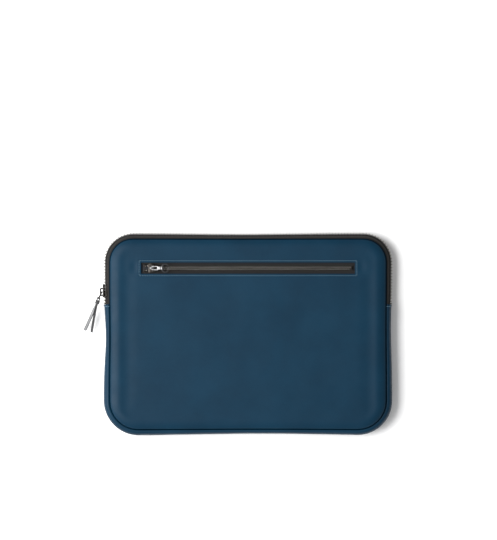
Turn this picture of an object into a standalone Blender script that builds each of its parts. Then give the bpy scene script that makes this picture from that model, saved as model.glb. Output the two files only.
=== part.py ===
"""Padded laptop sleeve with a wrap-round main zip and a zipped front pocket.

The sleeve lies on its back. X runs across its width, +Y towards the zipped top edge and +Z up through
its thickness. The origin is the centre of the back's flat face. The sizes below are in millimetres,
and the meshes are in metres.
"""
import math
from collections import namedtuple

import bmesh
import bpy
from mathutils import Matrix, Vector

MM = 0.001

# the case
HALF_WIDTH = 165.0
HALF_HEIGHT = 116.0
THICKNESS = 28.0
MIDDLE = THICKNESS / 2
TOP_RADIUS = 33.5
BOTTOM_RADIUS = 40.0
SEAM_INSET = 5.5  # from the outermost edge to the seam between a panel and the edge band
PANEL_DEPTH = 5.3  # from a panel's face down to its seam
CORNER_STEPS = 8

# the layers, counted from the outside
LEATHER = 1.2
FOAM = 2.5
LINING = 0.6
POCKET_LINING = 0.5
GAP = 0.3
PAD_INSET = 8.0
EDGE_HALF = MIDDLE - PANEL_DEPTH - GAP  # half height of the edge band, from seam to seam
POCKET_DEPTH = 2.9  # clear space behind the pocket zip, from the leather to the pocket's lining

# the fold that the front opens along, level with the ends of the main zip
FOLD_Y = 34.3
FOLD_GAP = 0.15

# the front pocket
WINDOW_Y = 75.6
WINDOW_HALF_WIDTH = 122.0
WINDOW_HALF_HEIGHT = 6.4
POCKET_HALF_WIDTH = 130.0
POCKET_BOTTOM = -62.0
POCKET_TOP = 92.0

# where the sliders stand with both zips closed
MAIN_SLIDER_Y = 50.0
POCKET_SLIDER_X = -108.0

Zip = namedtuple(
    "Zip",
    "pitch half_width half_thickness head spread tape wire slider_length plate crown_length crown_width",
)
MAIN_ZIP = Zip(3.5, 3.0, 1.3, 0.9, 1.8, 0.6, 1.2, 15.0, 1.1, 7.0, 2.4)
POCKET_ZIP = Zip(3.0, 2.7, 1.0, 0.75, 1.5, 0.4, 0.9, 11.5, 0.7, 5.6, 2.2)
TOOTH_GAP = 0.35
TAPE_GAP = 0.3

MAIN_CHAIN_INSET = 1.7  # of the main zip's mid-plane, from the outermost edge
TAPE_FLAT = 6.6  # half height of the main tape's flat strip, which the slider runs on
POCKET_CHAIN_Z = 26.25
POCKET_TAPE_HALF = 13.0

BLUE_LEATHER = ((0.0145, 0.056, 0.102), 0.42, 0.0)
GUNMETAL = ((0.16, 0.15, 0.14), 0.32, 0.9)
STEEL = ((0.55, 0.55, 0.53), 0.25, 1.0)
TAPE_FABRIC = ((0.026, 0.026, 0.028), 0.85, 0.0)
LINING_FABRIC = ((0.05, 0.055, 0.065), 0.9, 0.0)
FOAM_GREY = ((0.25, 0.25, 0.25), 0.95, 0.0)
STRAP_LEATHER = ((0.2, 0.2, 0.2), 0.5, 0.0)

for existing in list(bpy.data.objects):
    bpy.data.objects.remove(existing, do_unlink=True)


# ---------------------------------------------------------------- mesh helpers


def material(name, look):
    """A Principled material from (colour, roughness, metallic)."""
    colour, roughness, metallic = look
    made = bpy.data.materials.new(name)
    made.use_nodes = True
    shader = made.node_tree.nodes["Principled BSDF"]
    shader.inputs["Base Color"].default_value = (*colour, 1.0)
    shader.inputs["Roughness"].default_value = roughness
    shader.inputs["Metallic"].default_value = metallic
    return made


def finish(name, bm, look, origin=(0.0, 0.0, 0.0), smooth_degrees=35.0):
    """Turn a mesh in world millimetres into a named object whose origin is at the given point."""
    bmesh.ops.recalc_face_normals(bm, faces=bm.faces)
    centre = Vector(origin)
    bm.transform(Matrix.Scale(MM, 4) @ Matrix.Translation(-centre))
    mesh = bpy.data.meshes.new(name)
    bm.to_mesh(mesh)
    bm.free()
    mesh.shade_smooth()
    mesh.set_sharp_from_angle(angle=math.radians(smooth_degrees))
    mesh.materials.append(material(name, look))
    made = bpy.data.objects.new(name, mesh)
    made.location = centre * MM
    bpy.context.collection.objects.link(made)
    return made


def loft(rings, closed=False):
    """Skin equal rings of points in turn: end caps on an open loft, or last ring to first."""
    bm = bmesh.new()
    loops = [[bm.verts.new(point) for point in ring] for ring in rings]
    count = len(loops[0])
    pairs = list(zip(loops, loops[1:]))
    if closed:
        pairs.append((loops[-1], loops[0]))
    for low, high in pairs:
        for i in range(count):
            j = (i + 1) % count
            bm.faces.new((low[i], low[j], high[j], high[i]))
    if not closed:
        bm.faces.new(loops[0])
        bm.faces.new(loops[-1])
    return bm


def extrude(outline, low, high, place=None):
    """A prism: an outline of (x, y) points between two heights, moved by a matrix."""
    bm = loft([[(x, y, height) for x, y in outline] for height in (low, high)])
    if place is not None:
        bm.transform(place)
    return bm


def cut(target, bm):
    """Take a closed mesh, in world millimetres, away from an object."""
    bmesh.ops.recalc_face_normals(bm, faces=bm.faces)
    bm.transform(Matrix.Scale(MM, 4))
    mesh = bpy.data.meshes.new("cutter")
    bm.to_mesh(mesh)
    bm.free()
    cutter = bpy.data.objects.new("cutter", mesh)
    cutter.hide_render = True
    cutter.display_type = "WIRE"
    bpy.context.collection.objects.link(cutter)
    step = target.modifiers.new("cut", "BOOLEAN")
    step.operation = "DIFFERENCE"
    step.solver = "EXACT"
    step.object = cutter


def rectangle(x_low, x_high, y_low, y_high, radius=0.0, steps=4):
    """The outline of a rectangle with rounded corners."""
    if radius == 0.0:
        return [(x_low, y_low), (x_high, y_low), (x_high, y_high), (x_low, y_high)]
    centres = (
        (x_high - radius, y_high - radius),
        (x_low + radius, y_high - radius),
        (x_low + radius, y_low + radius),
        (x_high - radius, y_low + radius),
    )
    points = []
    for quarter, (x, y) in enumerate(centres):
        for i in range(steps + 1):
            angle = (quarter + i / steps) * math.pi / 2
            points.append((x + radius * math.cos(angle), y + radius * math.sin(angle)))
    return points


def tube(path, radius, sides=8, closed=False):
    """A round wire along a path of points."""
    points = [Vector(point) for point in path]
    rings = []
    side = None
    for i, point in enumerate(points):
        before = points[i - 1] if i or closed else point
        after = points[(i + 1) % len(points)] if i + 1 < len(points) or closed else point
        along = (after - before).normalized()
        if side is None:
            side = along.orthogonal().normalized()
        side = (side - along * side.dot(along)).normalized()
        up = along.cross(side)
        angles = [math.tau * k / sides for k in range(sides)]
        rings.append([point + (side * math.cos(a) + up * math.sin(a)) * radius for a in angles])
    return loft(rings, closed)


# ---------------------------------------------------------------- the case's outline


def case_loop(inset):
    """The case's rounded outline, moved inwards, as a closed loop of (x, y) points."""
    points = []
    for quarter in range(4):
        radius = TOP_RADIUS if quarter < 2 else BOTTOM_RADIUS
        x_sign = 1 if quarter in (0, 3) else -1
        y_sign = 1 if quarter < 2 else -1
        x = x_sign * (HALF_WIDTH - radius)
        y = y_sign * (HALF_HEIGHT - radius)
        for i in range(CORNER_STEPS + 1):
            angle = (quarter + i / CORNER_STEPS) * math.pi / 2
            reach = radius - inset
            points.append((x + reach * math.cos(angle), y + reach * math.sin(angle)))
    return points


def clip(points, keep, y):
    """Keep the part of a convex outline above (keep=1) or below (keep=-1) the line at y."""
    result = []
    for i, (x1, y1) in enumerate(points):
        x0, y0 = points[i - 1]
        inside_before = (y0 - y) * keep > 0
        inside = (y1 - y) * keep > 0
        if inside != inside_before:
            t = (y - y0) / (y1 - y0)
            result.append((x0 + (x1 - x0) * t, y))
        if inside:
            result.append((x1, y1))
    return result


class EdgeRoute:
    """The line along the case's edge from one end of the main zip to the other.

    It runs from the left side to the right side, over the top edge (up=1) or under the bottom (up=-1).
    Distances are measured along the line at the given inset.
    """

    def __init__(self, start_y, up, inset):
        self.start_y = start_y
        self.up = up
        self.inset = inset
        self.radius = TOP_RADIUS if up > 0 else BOTTOM_RADIUS
        self.side = abs(up * HALF_HEIGHT - start_y) - self.radius
        self.arc = (self.radius - inset) * math.pi / 2
        self.span = 2 * (HALF_WIDTH - self.radius)
        self.length = 2 * (self.side + self.arc) + self.span

    def at(self, distance):
        """The outermost edge's point and its outward direction, at a distance along the route."""
        if distance > self.length / 2:
            x, y, out_x, out_y = self.at(self.length - distance)
            return -x, y, -out_x, out_y
        centre_x = self.radius - HALF_WIDTH
        centre_y = self.up * (HALF_HEIGHT - self.radius)
        if distance <= self.side:
            return -HALF_WIDTH, self.start_y + self.up * distance, -1.0, 0.0
        if distance <= self.side + self.arc:
            angle = (distance - self.side) / (self.radius - self.inset)
            out_x = -math.cos(angle)
            out_y = self.up * math.sin(angle)
            return centre_x + self.radius * out_x, centre_y + self.radius * out_y, out_x, out_y
        return centre_x + distance - self.side - self.arc, self.up * HALF_HEIGHT, 0.0, float(self.up)

    def point(self, distance, inset, z):
        x, y, out_x, out_y = self.at(distance)
        return (x - out_x * inset, y - out_y * inset, z)

    def stations(self, extra=()):
        """The distances that the route's shape needs, with any extra ones."""
        distances = {0.0, self.length, *extra}
        for i in range(CORNER_STEPS + 1):
            corner = self.side + self.arc * i / CORNER_STEPS
            distances.update((corner, self.length - corner))
        return sorted(distances)

    def sweep(self, profile, distances):
        """A closed solid with the profile(distance) outline of (inset, z) points at each distance."""
        rings = [[self.point(d, inset, z) for inset, z in profile(d)] for d in distances]
        return loft(rings)


# ---------------------------------------------------------------- panels and flat layers

# a panel's outer and inner faces, from the seam to its flat middle: inset from the seam, depth
PANEL_OUTER = ((0.0, PANEL_DEPTH), (0.0, 4.3), (1.1, 2.7), (4.0, 1.3), (9.5, 0.5), (24.5, 0.0))
PANEL_INNER = ((1.2, PANEL_DEPTH), (1.2, 4.5), (2.2, 3.5), (4.7, 2.5), (9.7, 1.7), (24.5, LEATHER))


def panel(name, half, back=False):
    """A leather panel: a shallow tray with a rounded edge, whole (half=0) or one side of the fold."""
    rings = []
    for inset, depth in [*reversed(PANEL_INNER), *PANEL_OUTER]:
        z = depth if back else THICKNESS - depth
        rings.append([(x, y, z) for x, y in case_loop(SEAM_INSET + inset)])
    bm = loft(rings)
    if half:
        bmesh.ops.bisect_plane(
            bm,
            geom=[*bm.verts, *bm.edges, *bm.faces],
            plane_co=(0.0, FOLD_Y + half * FOLD_GAP, 0.0),
            plane_no=(0.0, float(half), 0.0),
            clear_inner=True,
        )
        bmesh.ops.holes_fill(bm, edges=[edge for edge in bm.edges if edge.is_boundary])
    return finish(name, bm, BLUE_LEATHER)


def sheet(name, outline, half, low, high, look):
    """A flat layer between two heights, whole (half=0) or on one side of the fold."""
    if half:
        outline = clip(outline, half, FOLD_Y + half * FOLD_GAP)
    return finish(name, extrude(outline, low, high), look)


def build_back():
    """The back panel with its foam, whose underside follows the panel's rounded edge, and its lining."""
    panel("back_panel", 0, back=True)
    foam_low = LEATHER + GAP
    foam_top = foam_low + FOAM
    lining_low = foam_top + GAP
    rings = ((30.0, foam_low), (16.0, foam_low + 0.6), (11.2, foam_low + 1.4), (9.0, foam_low + 2.3))
    rings += ((PAD_INSET + 0.6, foam_top),)
    foam = loft([[(x, y, z) for x, y in case_loop(inset)] for inset, z in rings])
    finish("back_foam", foam, FOAM_GREY)
    sheet("back_lining", case_loop(PAD_INSET), 0, lining_low, lining_low + LINING, LINING_FABRIC)


def build_front():
    pocket_top = THICKNESS - LEATHER - POCKET_DEPTH
    foam_top = pocket_top - POCKET_LINING - GAP
    lining_top = foam_top - FOAM - GAP
    pocket = rectangle(-POCKET_HALF_WIDTH, POCKET_HALF_WIDTH, POCKET_BOTTOM, POCKET_TOP)
    for half, side in ((-1, "lower"), (1, "upper")):
        leather = panel(f"front_panel_{side}", half)
        if side == "upper":
            window = rectangle(
                -WINDOW_HALF_WIDTH,
                WINDOW_HALF_WIDTH,
                WINDOW_Y - WINDOW_HALF_HEIGHT,
                WINDOW_Y + WINDOW_HALF_HEIGHT,
                radius=2.0,
                steps=2,
            )
            cut(leather, extrude(window, MIDDLE, THICKNESS + 5.0))
        pocket_low = pocket_top - POCKET_LINING
        sheet(f"pocket_lining_{side}", pocket, half, pocket_low, pocket_top, LINING_FABRIC)
        sheet(f"front_foam_{side}", case_loop(PAD_INSET), half, foam_top - FOAM, foam_top, FOAM_GREY)
        lining_low = lining_top - LINING
        sheet(f"front_lining_{side}", case_loop(PAD_INSET), half, lining_low, lining_top, LINING_FABRIC)


# ---------------------------------------------------------------- edge band


def bulge(inset_mid, inset_end, half_height, thickness, steps=6):
    """An arched strip's outline of (inset, z) points, widest at mid-height."""
    outer = []
    inner = []
    for i in range(steps + 1):
        t = 2 * i / steps - 1
        inset = inset_mid + (inset_end - inset_mid) * abs(t) ** 2.4
        outer.append((inset, MIDDLE + half_height * t))
        inner.append((inset + thickness, MIDDLE + half_height * t))
    return outer + inner[::-1]


def build_gusset():
    """The leather band round the sides and bottom below the zip's ends, and its fabric facing."""
    route = EdgeRoute(FOLD_Y - FOLD_GAP, -1, 0.0)
    band = bulge(0.0, SEAM_INSET, EDGE_HALF, LEATHER)
    facing = bulge(LEATHER + 2 * GAP, SEAM_INSET + LEATHER + GAP, EDGE_HALF - 0.4, LINING)
    stations = route.stations()
    finish("lower_gusset", route.sweep(lambda distance: band, stations), BLUE_LEATHER)
    finish("gusset_lining", route.sweep(lambda distance: facing, stations), LINING_FABRIC)


# ---------------------------------------------------------------- zips


def spread_at(zipper, along):
    """How far a row of teeth stands out from the closed line, at a distance along from the slider."""
    shut, parted = slider_wedge(zipper)
    share = (shut - along) / (shut - parted)
    return zipper.spread * min(1.0, max(0.0, share))


def slider_wedge(zipper):
    """Where the teeth are fully shut and fully parted, along from the slider's middle."""
    return zipper.slider_length / 6, -zipper.slider_length / 10


def tooth_rows(zipper, start, end):
    """The distances of a comb's peaks and valleys between two ends, with the wave's sign at each."""
    count = int((end - start) / (zipper.pitch / 2))
    return [(start + i * zipper.pitch / 2, 1 if i % 2 else -1) for i in range(count + 1)]


def tooth_span(zipper, wave, along, side):
    """The low and high edge of one row's comb, measured across the zip from its middle line."""
    shift = spread_at(zipper, along)
    inner = TOOTH_GAP / 2 + side * wave * zipper.head
    return side * (inner + shift), side * (zipper.half_width + shift)


def build_main_zip():
    """Two tapes and two rows of teeth round the top, with the stops at their ends."""
    route = EdgeRoute(FOLD_Y + FOLD_GAP, 1, MAIN_CHAIN_INSET)
    slider = MAIN_SLIDER_Y - route.start_y
    shut, parted = slider_wedge(MAIN_ZIP)
    stations = route.stations((slider + shut, slider + parted))
    teeth_start = 2.5
    half_tape = MAIN_ZIP.tape / 2
    outer = MAIN_CHAIN_INSET - half_tape
    inner = MAIN_CHAIN_INSET + half_tape
    half_thickness = MAIN_ZIP.half_thickness

    for side, name in ((1, "front"), (-1, "back")):

        def tape_profile(distance):
            edge = MAIN_ZIP.half_width + TAPE_GAP + spread_at(MAIN_ZIP, distance - slider)
            heights = (
                (outer, edge),
                (outer, TAPE_FLAT + 0.1),
                (SEAM_INSET, EDGE_HALF),
                (SEAM_INSET + 0.9, EDGE_HALF),
                (inner, TAPE_FLAT - 0.2),
                (inner, edge),
            )
            return [(inset, MIDDLE + side * height) for inset, height in heights]

        finish(f"main_tape_{name}", route.sweep(tape_profile, stations), TAPE_FABRIC)

        waves = tooth_rows(MAIN_ZIP, teeth_start, route.length - teeth_start)
        rings = []
        for distance, wave in waves:
            low, high = tooth_span(MAIN_ZIP, wave, distance - slider, side)
            corners = (
                (MAIN_CHAIN_INSET - half_thickness, low),
                (MAIN_CHAIN_INSET + half_thickness, low),
                (MAIN_CHAIN_INSET + half_thickness, high),
                (MAIN_CHAIN_INSET - half_thickness, high),
            )
            rings.append([route.point(distance, inset, MIDDLE + height) for inset, height in corners])
        finish(f"main_teeth_{name}", loft(rings), GUNMETAL)

        high = MAIN_ZIP.half_width + MAIN_ZIP.spread
        main_stop(f"main_top_stop_{name}", -1, sorted((side * MAIN_ZIP.half_width, side * high)))
    main_stop("main_bottom_stop", 1, (-MAIN_ZIP.half_width, MAIN_ZIP.half_width))


def main_stop(name, x_sign, heights):
    """A metal stop at one end of the main zip, between two heights from the zip's middle line."""
    x = x_sign * (HALF_WIDTH - MAIN_CHAIN_INSET)
    half = MAIN_ZIP.half_thickness
    start = FOLD_Y + 2 * FOLD_GAP
    outline = rectangle(x - half, x + half, start, start + 1.3)
    finish(name, extrude(outline, MIDDLE + heights[0], MIDDLE + heights[1]), GUNMETAL)


def build_pocket_zip():
    """The pocket's two flat tapes and two straight rows of teeth, with the stops at their ends."""
    tape_end = WINDOW_HALF_WIDTH + 5.0
    stop_length = 1.6
    teeth_start = -WINDOW_HALF_WIDTH + 5.0
    teeth_end = WINDOW_HALF_WIDTH - 4.0
    half = POCKET_ZIP.half_thickness
    shut, parted = slider_wedge(POCKET_ZIP)
    across = POCKET_ZIP.half_width + TAPE_GAP
    turns = (-tape_end, POCKET_SLIDER_X + parted, POCKET_SLIDER_X + shut, tape_end)

    for side, name in ((1, "upper"), (-1, "lower")):
        rings = []
        for x in turns:
            edge = across + spread_at(POCKET_ZIP, x - POCKET_SLIDER_X)
            y_edge = WINDOW_Y + side * edge
            y_seam = WINDOW_Y + side * POCKET_TAPE_HALF
            low = POCKET_CHAIN_Z - POCKET_ZIP.tape / 2
            high = POCKET_CHAIN_Z + POCKET_ZIP.tape / 2
            rings.append([(x, y_edge, low), (x, y_seam, low), (x, y_seam, high), (x, y_edge, high)])
        finish(f"pocket_tape_{name}", loft(rings), TAPE_FABRIC)

        rings = []
        for x, wave in tooth_rows(POCKET_ZIP, teeth_start, teeth_end):
            low, high = tooth_span(POCKET_ZIP, wave, x - POCKET_SLIDER_X, side)
            corners = ((low, -half), (high, -half), (high, half), (low, half))
            rings.append([(x, WINDOW_Y + y, POCKET_CHAIN_Z + z) for y, z in corners])
        finish(f"pocket_teeth_{name}", loft(rings), GUNMETAL)

        low = TOOTH_GAP + POCKET_ZIP.spread - POCKET_ZIP.head
        high = POCKET_ZIP.half_width + POCKET_ZIP.spread
        pocket_stop(f"pocket_top_stop_{name}", teeth_start - GAP - stop_length, stop_length,
                    sorted((side * low, side * high)))
    width = POCKET_ZIP.half_width
    pocket_stop("pocket_bottom_stop", teeth_end + GAP, stop_length, (-width, width))


def pocket_stop(name, x, length, across):
    """A metal stop at one end of the pocket zip, between two distances from its middle line."""
    half = POCKET_ZIP.half_thickness
    outline = rectangle(x, x + length, WINDOW_Y + across[0], WINDOW_Y + across[1])
    finish(name, extrude(outline, POCKET_CHAIN_Z - half, POCKET_CHAIN_Z + half), GUNMETAL)


# ---------------------------------------------------------------- sliders and pulls


def slider_place(origin, along, across, outward):
    """The matrix from a slider's own axes (along the zip, across it, outward) to the world."""
    rotation = Matrix((along, across, outward)).transposed().to_4x4()
    return Matrix.Translation(Vector(origin)) @ rotation


MAIN_PLACE = slider_place(
    (MAIN_CHAIN_INSET - HALF_WIDTH, MAIN_SLIDER_Y, MIDDLE), (0, 1, 0), (0, 0, -1), (-1, 0, 0)
)
POCKET_PLACE = slider_place((POCKET_SLIDER_X, WINDOW_Y, POCKET_CHAIN_Z), (1, 0, 0), (0, 1, 0), (0, 0, 1))


def channel_half(zipper):
    return zipper.half_thickness + 0.35


def slider_top(zipper):
    return channel_half(zipper) + zipper.plate


def build_slider(prefix, zipper, place):
    """A slider: two plates joined by the wedge that parts the teeth, with flanges at the sides."""
    half = zipper.slider_length / 2
    shut, parted = slider_wedge(zipper)
    narrow = zipper.half_width + 0.35
    wide = narrow + zipper.spread
    wall = 1.0
    wedge = zipper.spread - zipper.head - 0.1
    bevel = 1.2
    right = [
        (-half, wide + wall - bevel),
        (-half + bevel, wide + wall),
        (parted, wide + wall),
        (shut, narrow + wall),
        (half - bevel, narrow + wall),
        (half, narrow + wall - bevel),
    ]
    plan = right + [(x, -y) for x, y in reversed(right)]
    top = slider_top(zipper)
    body = finish(f"{prefix}_slider_body", extrude(plan, -top, top, place), GUNMETAL, place.translation)
    past = half + 1.0
    for side in (1, -1):
        branch = [
            (-past, wedge),
            (parted, wedge),
            (shut, -narrow),
            (past, -narrow),
            (past, narrow),
            (shut, narrow),
            (parted, wide),
            (-past, wide),
        ]
        channel = channel_half(zipper)
        cut(body, extrude([(x, side * y) for x, y in branch], -channel, channel, place))
        slot = sorted((side * (narrow - 0.5), side * (wide + 3.0)))
        slot_half = zipper.tape / 2 + TAPE_GAP
        cut(body, extrude(rectangle(-past, past, *slot), -slot_half, slot_half, place))


def crown_axis(zipper):
    """Where the pull's bar turns under the crown, in the slider's own axes."""
    return -1.6, slider_top(zipper) + GAP + zipper.wire / 2 + 0.25


def build_crown(prefix, zipper, place):
    """The arched bridge on the slider that the pull's bar turns under."""
    middle, bar_height = crown_axis(zipper)
    half = zipper.crown_length / 2
    foot = 0.95
    low = slider_top(zipper) + GAP
    under = bar_height + zipper.wire / 2 + 0.25
    top = under + 1.0
    arch = [
        (middle - half, low),
        (middle - half + foot, low),
        (middle - half + foot, under),
        (middle + half - foot, under),
        (middle + half - foot, low),
        (middle + half, low),
        (middle + half, top - 0.9),
        (middle + half - 1.1, top),
        (middle - half + 1.1, top),
        (middle - half, top - 0.9),
    ]
    width = zipper.crown_width / 2
    bridge = extrude(arch, -width, width, place @ ON_EDGE)
    finish(f"{prefix}_slider_crown", bridge, STEEL, place.translation)


def tilt_about_bar(zipper, place, direction, degrees):
    """Axes at the pull's bar: x along the pull, which leans outward from the slider's face."""
    along, height = crown_axis(zipper)
    move = Matrix.Translation((along, 0.0, height))
    facing = Matrix.Rotation(0.0 if direction > 0 else math.pi, 4, "Z")
    return place @ move @ facing @ Matrix.Rotation(math.radians(-degrees), 4, "Y")


# a profile drawn along and outward, extruded across the zip
ON_EDGE = Matrix(((1, 0, 0, 0), (0, 0, -1, 0), (0, 1, 0, 0), (0, 0, 0, 1)))

PULL_TAB_LENGTH = 12.7
PULL_TAB_TILT = 25.0
PULL_RING_RADIUS = 4.7
PULL_RING_TILT = -36.0
PULL_RING_WIRE = 1.2


def build_pocket_pull():
    """The pocket slider's flat tab, and the round ring through the rolled eye at its end."""
    axes = tilt_about_bar(POCKET_ZIP, POCKET_PLACE, 1, PULL_TAB_TILT)
    half_bar = POCKET_ZIP.wire / 2
    half_width = 2.3
    eye_half_width = 1.6
    eye_outer = 1.8
    eye_inner = 1.1
    profile = [(-half_bar, half_bar), (-half_bar, -half_bar)]
    open_angle = math.asin(half_bar / eye_outer)
    steps = 10
    for i in range(steps + 1):
        angle = math.pi + open_angle + (math.tau - 2 * open_angle) * i / steps
        profile.append((PULL_TAB_LENGTH + eye_outer * math.cos(angle), eye_outer * math.sin(angle)))
    hinge = axes.translation
    tab_body = extrude(profile, -half_width, half_width, axes @ ON_EDGE)
    tab = finish("pocket_pull_tab", tab_body, STEEL, hinge)
    cut(tab, extrude(rectangle(half_bar, 6.6, -1.5, 1.5), -3.0, 3.0, axes))
    for side in (1, -1):
        beside = sorted((side * eye_half_width, side * 4.0))
        cut(tab, extrude(rectangle(8.0, PULL_TAB_LENGTH + 4.0, *beside), -3.0, 3.0, axes))
    bore = []
    for i in range(12):
        angle = math.tau * i / 12
        bore.append((PULL_TAB_LENGTH + eye_inner * math.cos(angle), eye_inner * math.sin(angle)))
    cut(tab, extrude(bore, -4.0, 4.0, axes @ ON_EDGE))

    eye = axes @ Matrix.Translation((PULL_TAB_LENGTH, 0.0, 0.0))
    ring_axes = eye @ Matrix.Rotation(math.radians(PULL_TAB_TILT - PULL_RING_TILT), 4, "Y")
    steps = 24
    path = []
    for i in range(steps):
        angle = math.tau * i / steps
        out = PULL_RING_RADIUS * (1 - math.cos(angle)) - 0.13
        path.append(ring_axes @ Vector((out, PULL_RING_RADIUS * math.sin(angle), 0.0)))
    finish("pocket_pull_ring", tube(path, PULL_RING_WIRE / 2, closed=True), STEEL, eye.translation)


PULL_LOOP_LENGTH = 8.3
PULL_LOOP_HALF_WIDTH = 2.5
PULL_LOOP_TILT = 26.0
STRAP_WIDTH = 3.0
STRAP_THICKNESS = 1.0
KNOT = Vector((-172.4, 36.4, MIDDLE))
KNOT_ALONG = Vector((-0.33, -0.944, 0.0))
KNOT_ACROSS = Vector((-0.944, 0.33, 0.0))
LONG_TAIL_TIP = Vector((-187.0, 4.5, 4.8))
SHORT_TAIL_TIP = Vector((-179.2, 2.2, 7.5))


def strap_tail(start, tip, twist_degrees):
    """Points along one tail of the strap, from the knot to its tip, each with its width's direction."""
    bend = start + KNOT_ALONG * 14.0
    stations = []
    steps = 9
    for i in range(steps + 1):
        t = i / steps
        point = start * (1 - t) ** 2 + bend * 2 * t * (1 - t) + tip * t**2
        twist = math.radians(twist_degrees) * min(1.0, 1.8 * t)
        stations.append((point, Vector((0, 0, math.cos(twist))) - KNOT_ACROSS * math.sin(twist)))
    return stations


def build_main_pull():
    """The main slider's wire loop, with a leather strap threaded through it and tied by a keeper."""
    axes = tilt_about_bar(MAIN_ZIP, MAIN_PLACE, -1, PULL_LOOP_TILT)
    loop = rectangle(0.0, PULL_LOOP_LENGTH, -PULL_LOOP_HALF_WIDTH, PULL_LOOP_HALF_WIDTH, 1.0, 3)
    wire = tube([axes @ Vector((x, y, 0.0)) for x, y in loop], MAIN_ZIP.wire / 2, closed=True)
    finish("main_pull_loop", wire, GUNMETAL, axes.translation)

    bar = axes @ Vector((PULL_LOOP_LENGTH, 0.0, 0.0))
    turn_radius = MAIN_ZIP.wire / 2 + GAP + STRAP_THICKNESS / 2
    upright = Vector((0.0, 0.0, 1.0))
    apart = KNOT_ACROSS * (STRAP_THICKNESS / 2 + GAP)
    long_tail = strap_tail(KNOT + apart, LONG_TAIL_TIP, 90.0)
    short_tail = strap_tail(KNOT - apart, SHORT_TAIL_TIP, 0.0)
    turn = []
    steps = 6
    for i in range(steps + 1):
        angle = math.radians(160.0 - 180.0 * i / steps)
        turn.append((bar + Vector((math.cos(angle), math.sin(angle), 0.0)) * turn_radius, upright))
    stations = [*reversed(long_tail), *turn, *short_tail]
    rings = []
    for i, (point, width) in enumerate(stations):
        before = stations[max(i - 1, 0)][0]
        after = stations[min(i + 1, len(stations) - 1)][0]
        along = (after - before).normalized()
        width = (width - along * width.dot(along)).normalized() * STRAP_WIDTH / 2
        depth = along.cross(width).normalized() * STRAP_THICKNESS / 2
        rings.append([point + width + depth, point + width - depth,
                      point - width - depth, point - width + depth])
    finish("main_pull_strap", loft(rings), STRAP_LEATHER, bar)

    axes = Matrix((KNOT_ALONG, KNOT_ACROSS, upright)).transposed().to_4x4()
    axes = Matrix.Translation(KNOT) @ axes
    half_height = STRAP_WIDTH / 2 + GAP
    half_depth = STRAP_THICKNESS + 2 * GAP
    wall = 0.8
    band = rectangle(-1.3, 1.3, -half_depth - wall, half_depth + wall)
    keeper = finish("main_pull_keeper", extrude(band, -half_height - wall, half_height + wall, axes),
                    STRAP_LEATHER, bar)
    cut(keeper, extrude(rectangle(-3.0, 3.0, -half_depth, half_depth), -half_height, half_height, axes))


def main():
    build_back()
    build_front()
    build_gusset()
    build_main_zip()
    build_pocket_zip()
    build_slider("main", MAIN_ZIP, MAIN_PLACE)
    build_crown("main", MAIN_ZIP, MAIN_PLACE)
    build_slider("pocket", POCKET_ZIP, POCKET_PLACE)
    build_crown("pocket", POCKET_ZIP, POCKET_PLACE)
    build_pocket_pull()
    build_main_pull()


main()
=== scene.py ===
"""Looks of the padded laptop sleeve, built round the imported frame.

The sleeve lies on its back. X runs across its width, +Y towards the zipped top edge and +Z up through
its thickness. The sizes below are in millimetres; meshes are in metres.
"""
import math
import random
from collections import namedtuple

import bmesh
import bpy
from mathutils import Matrix, Vector, noise


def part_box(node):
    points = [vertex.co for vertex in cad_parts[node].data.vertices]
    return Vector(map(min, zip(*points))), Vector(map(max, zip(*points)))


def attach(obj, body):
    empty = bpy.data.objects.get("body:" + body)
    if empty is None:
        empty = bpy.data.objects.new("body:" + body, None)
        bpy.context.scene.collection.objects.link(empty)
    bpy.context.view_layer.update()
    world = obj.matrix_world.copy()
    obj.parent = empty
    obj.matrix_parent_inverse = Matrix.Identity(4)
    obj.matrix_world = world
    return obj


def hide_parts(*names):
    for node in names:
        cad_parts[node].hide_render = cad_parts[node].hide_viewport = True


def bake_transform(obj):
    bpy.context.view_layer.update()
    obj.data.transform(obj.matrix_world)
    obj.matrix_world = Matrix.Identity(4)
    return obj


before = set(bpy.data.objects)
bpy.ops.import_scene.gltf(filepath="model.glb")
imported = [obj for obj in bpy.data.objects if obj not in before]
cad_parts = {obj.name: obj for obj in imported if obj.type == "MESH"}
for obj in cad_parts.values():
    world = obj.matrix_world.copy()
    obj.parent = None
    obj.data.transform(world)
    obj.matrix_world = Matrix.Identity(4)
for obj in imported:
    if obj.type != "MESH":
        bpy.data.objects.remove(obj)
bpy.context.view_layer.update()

MM = 0.001

# the case, as the frame has it
HALF_WIDTH = 165.0
HALF_HEIGHT = 116.0
THICKNESS = 28.0
MIDDLE = THICKNESS / 2
TOP_RADIUS = 33.5
BOTTOM_RADIUS = 40.0
SEAM_INSET = 6.5
SEAM_RISE = 5.3  # from a panel's seam to its face
LEATHER = 1.2
LINING = 0.6
LINING_INSET = 7.2
FOLD_Y = 34.3

# the front pocket
WINDOW_Y = 75.6
WINDOW_HALF_WIDTH = 122.0
WINDOW_HALF_HEIGHT = 6.4

# the zips
MAIN_SLIDER_Y = 50.0
POCKET_SLIDER_X = -108.0
MAIN_CHAIN_INSET = 1.7
POCKET_CHAIN_Z = 26.25
Zip = namedtuple("Zip", "pitch half_width half_thickness head spread tape wire slider_length plate")
MAIN_ZIP = Zip(3.5, 3.0, 1.3, 0.9, 1.8, 0.55, 1.2, 15.0, 1.1)
POCKET_ZIP = Zip(3.0, 2.7, 1.0, 0.75, 1.5, 0.4, 0.9, 11.5, 0.7)


# ---- meshes


# edges sharper than these many degrees stay sharp
SOFT_ANGLE = 50.0
METAL_ANGLE = 35.0


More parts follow.
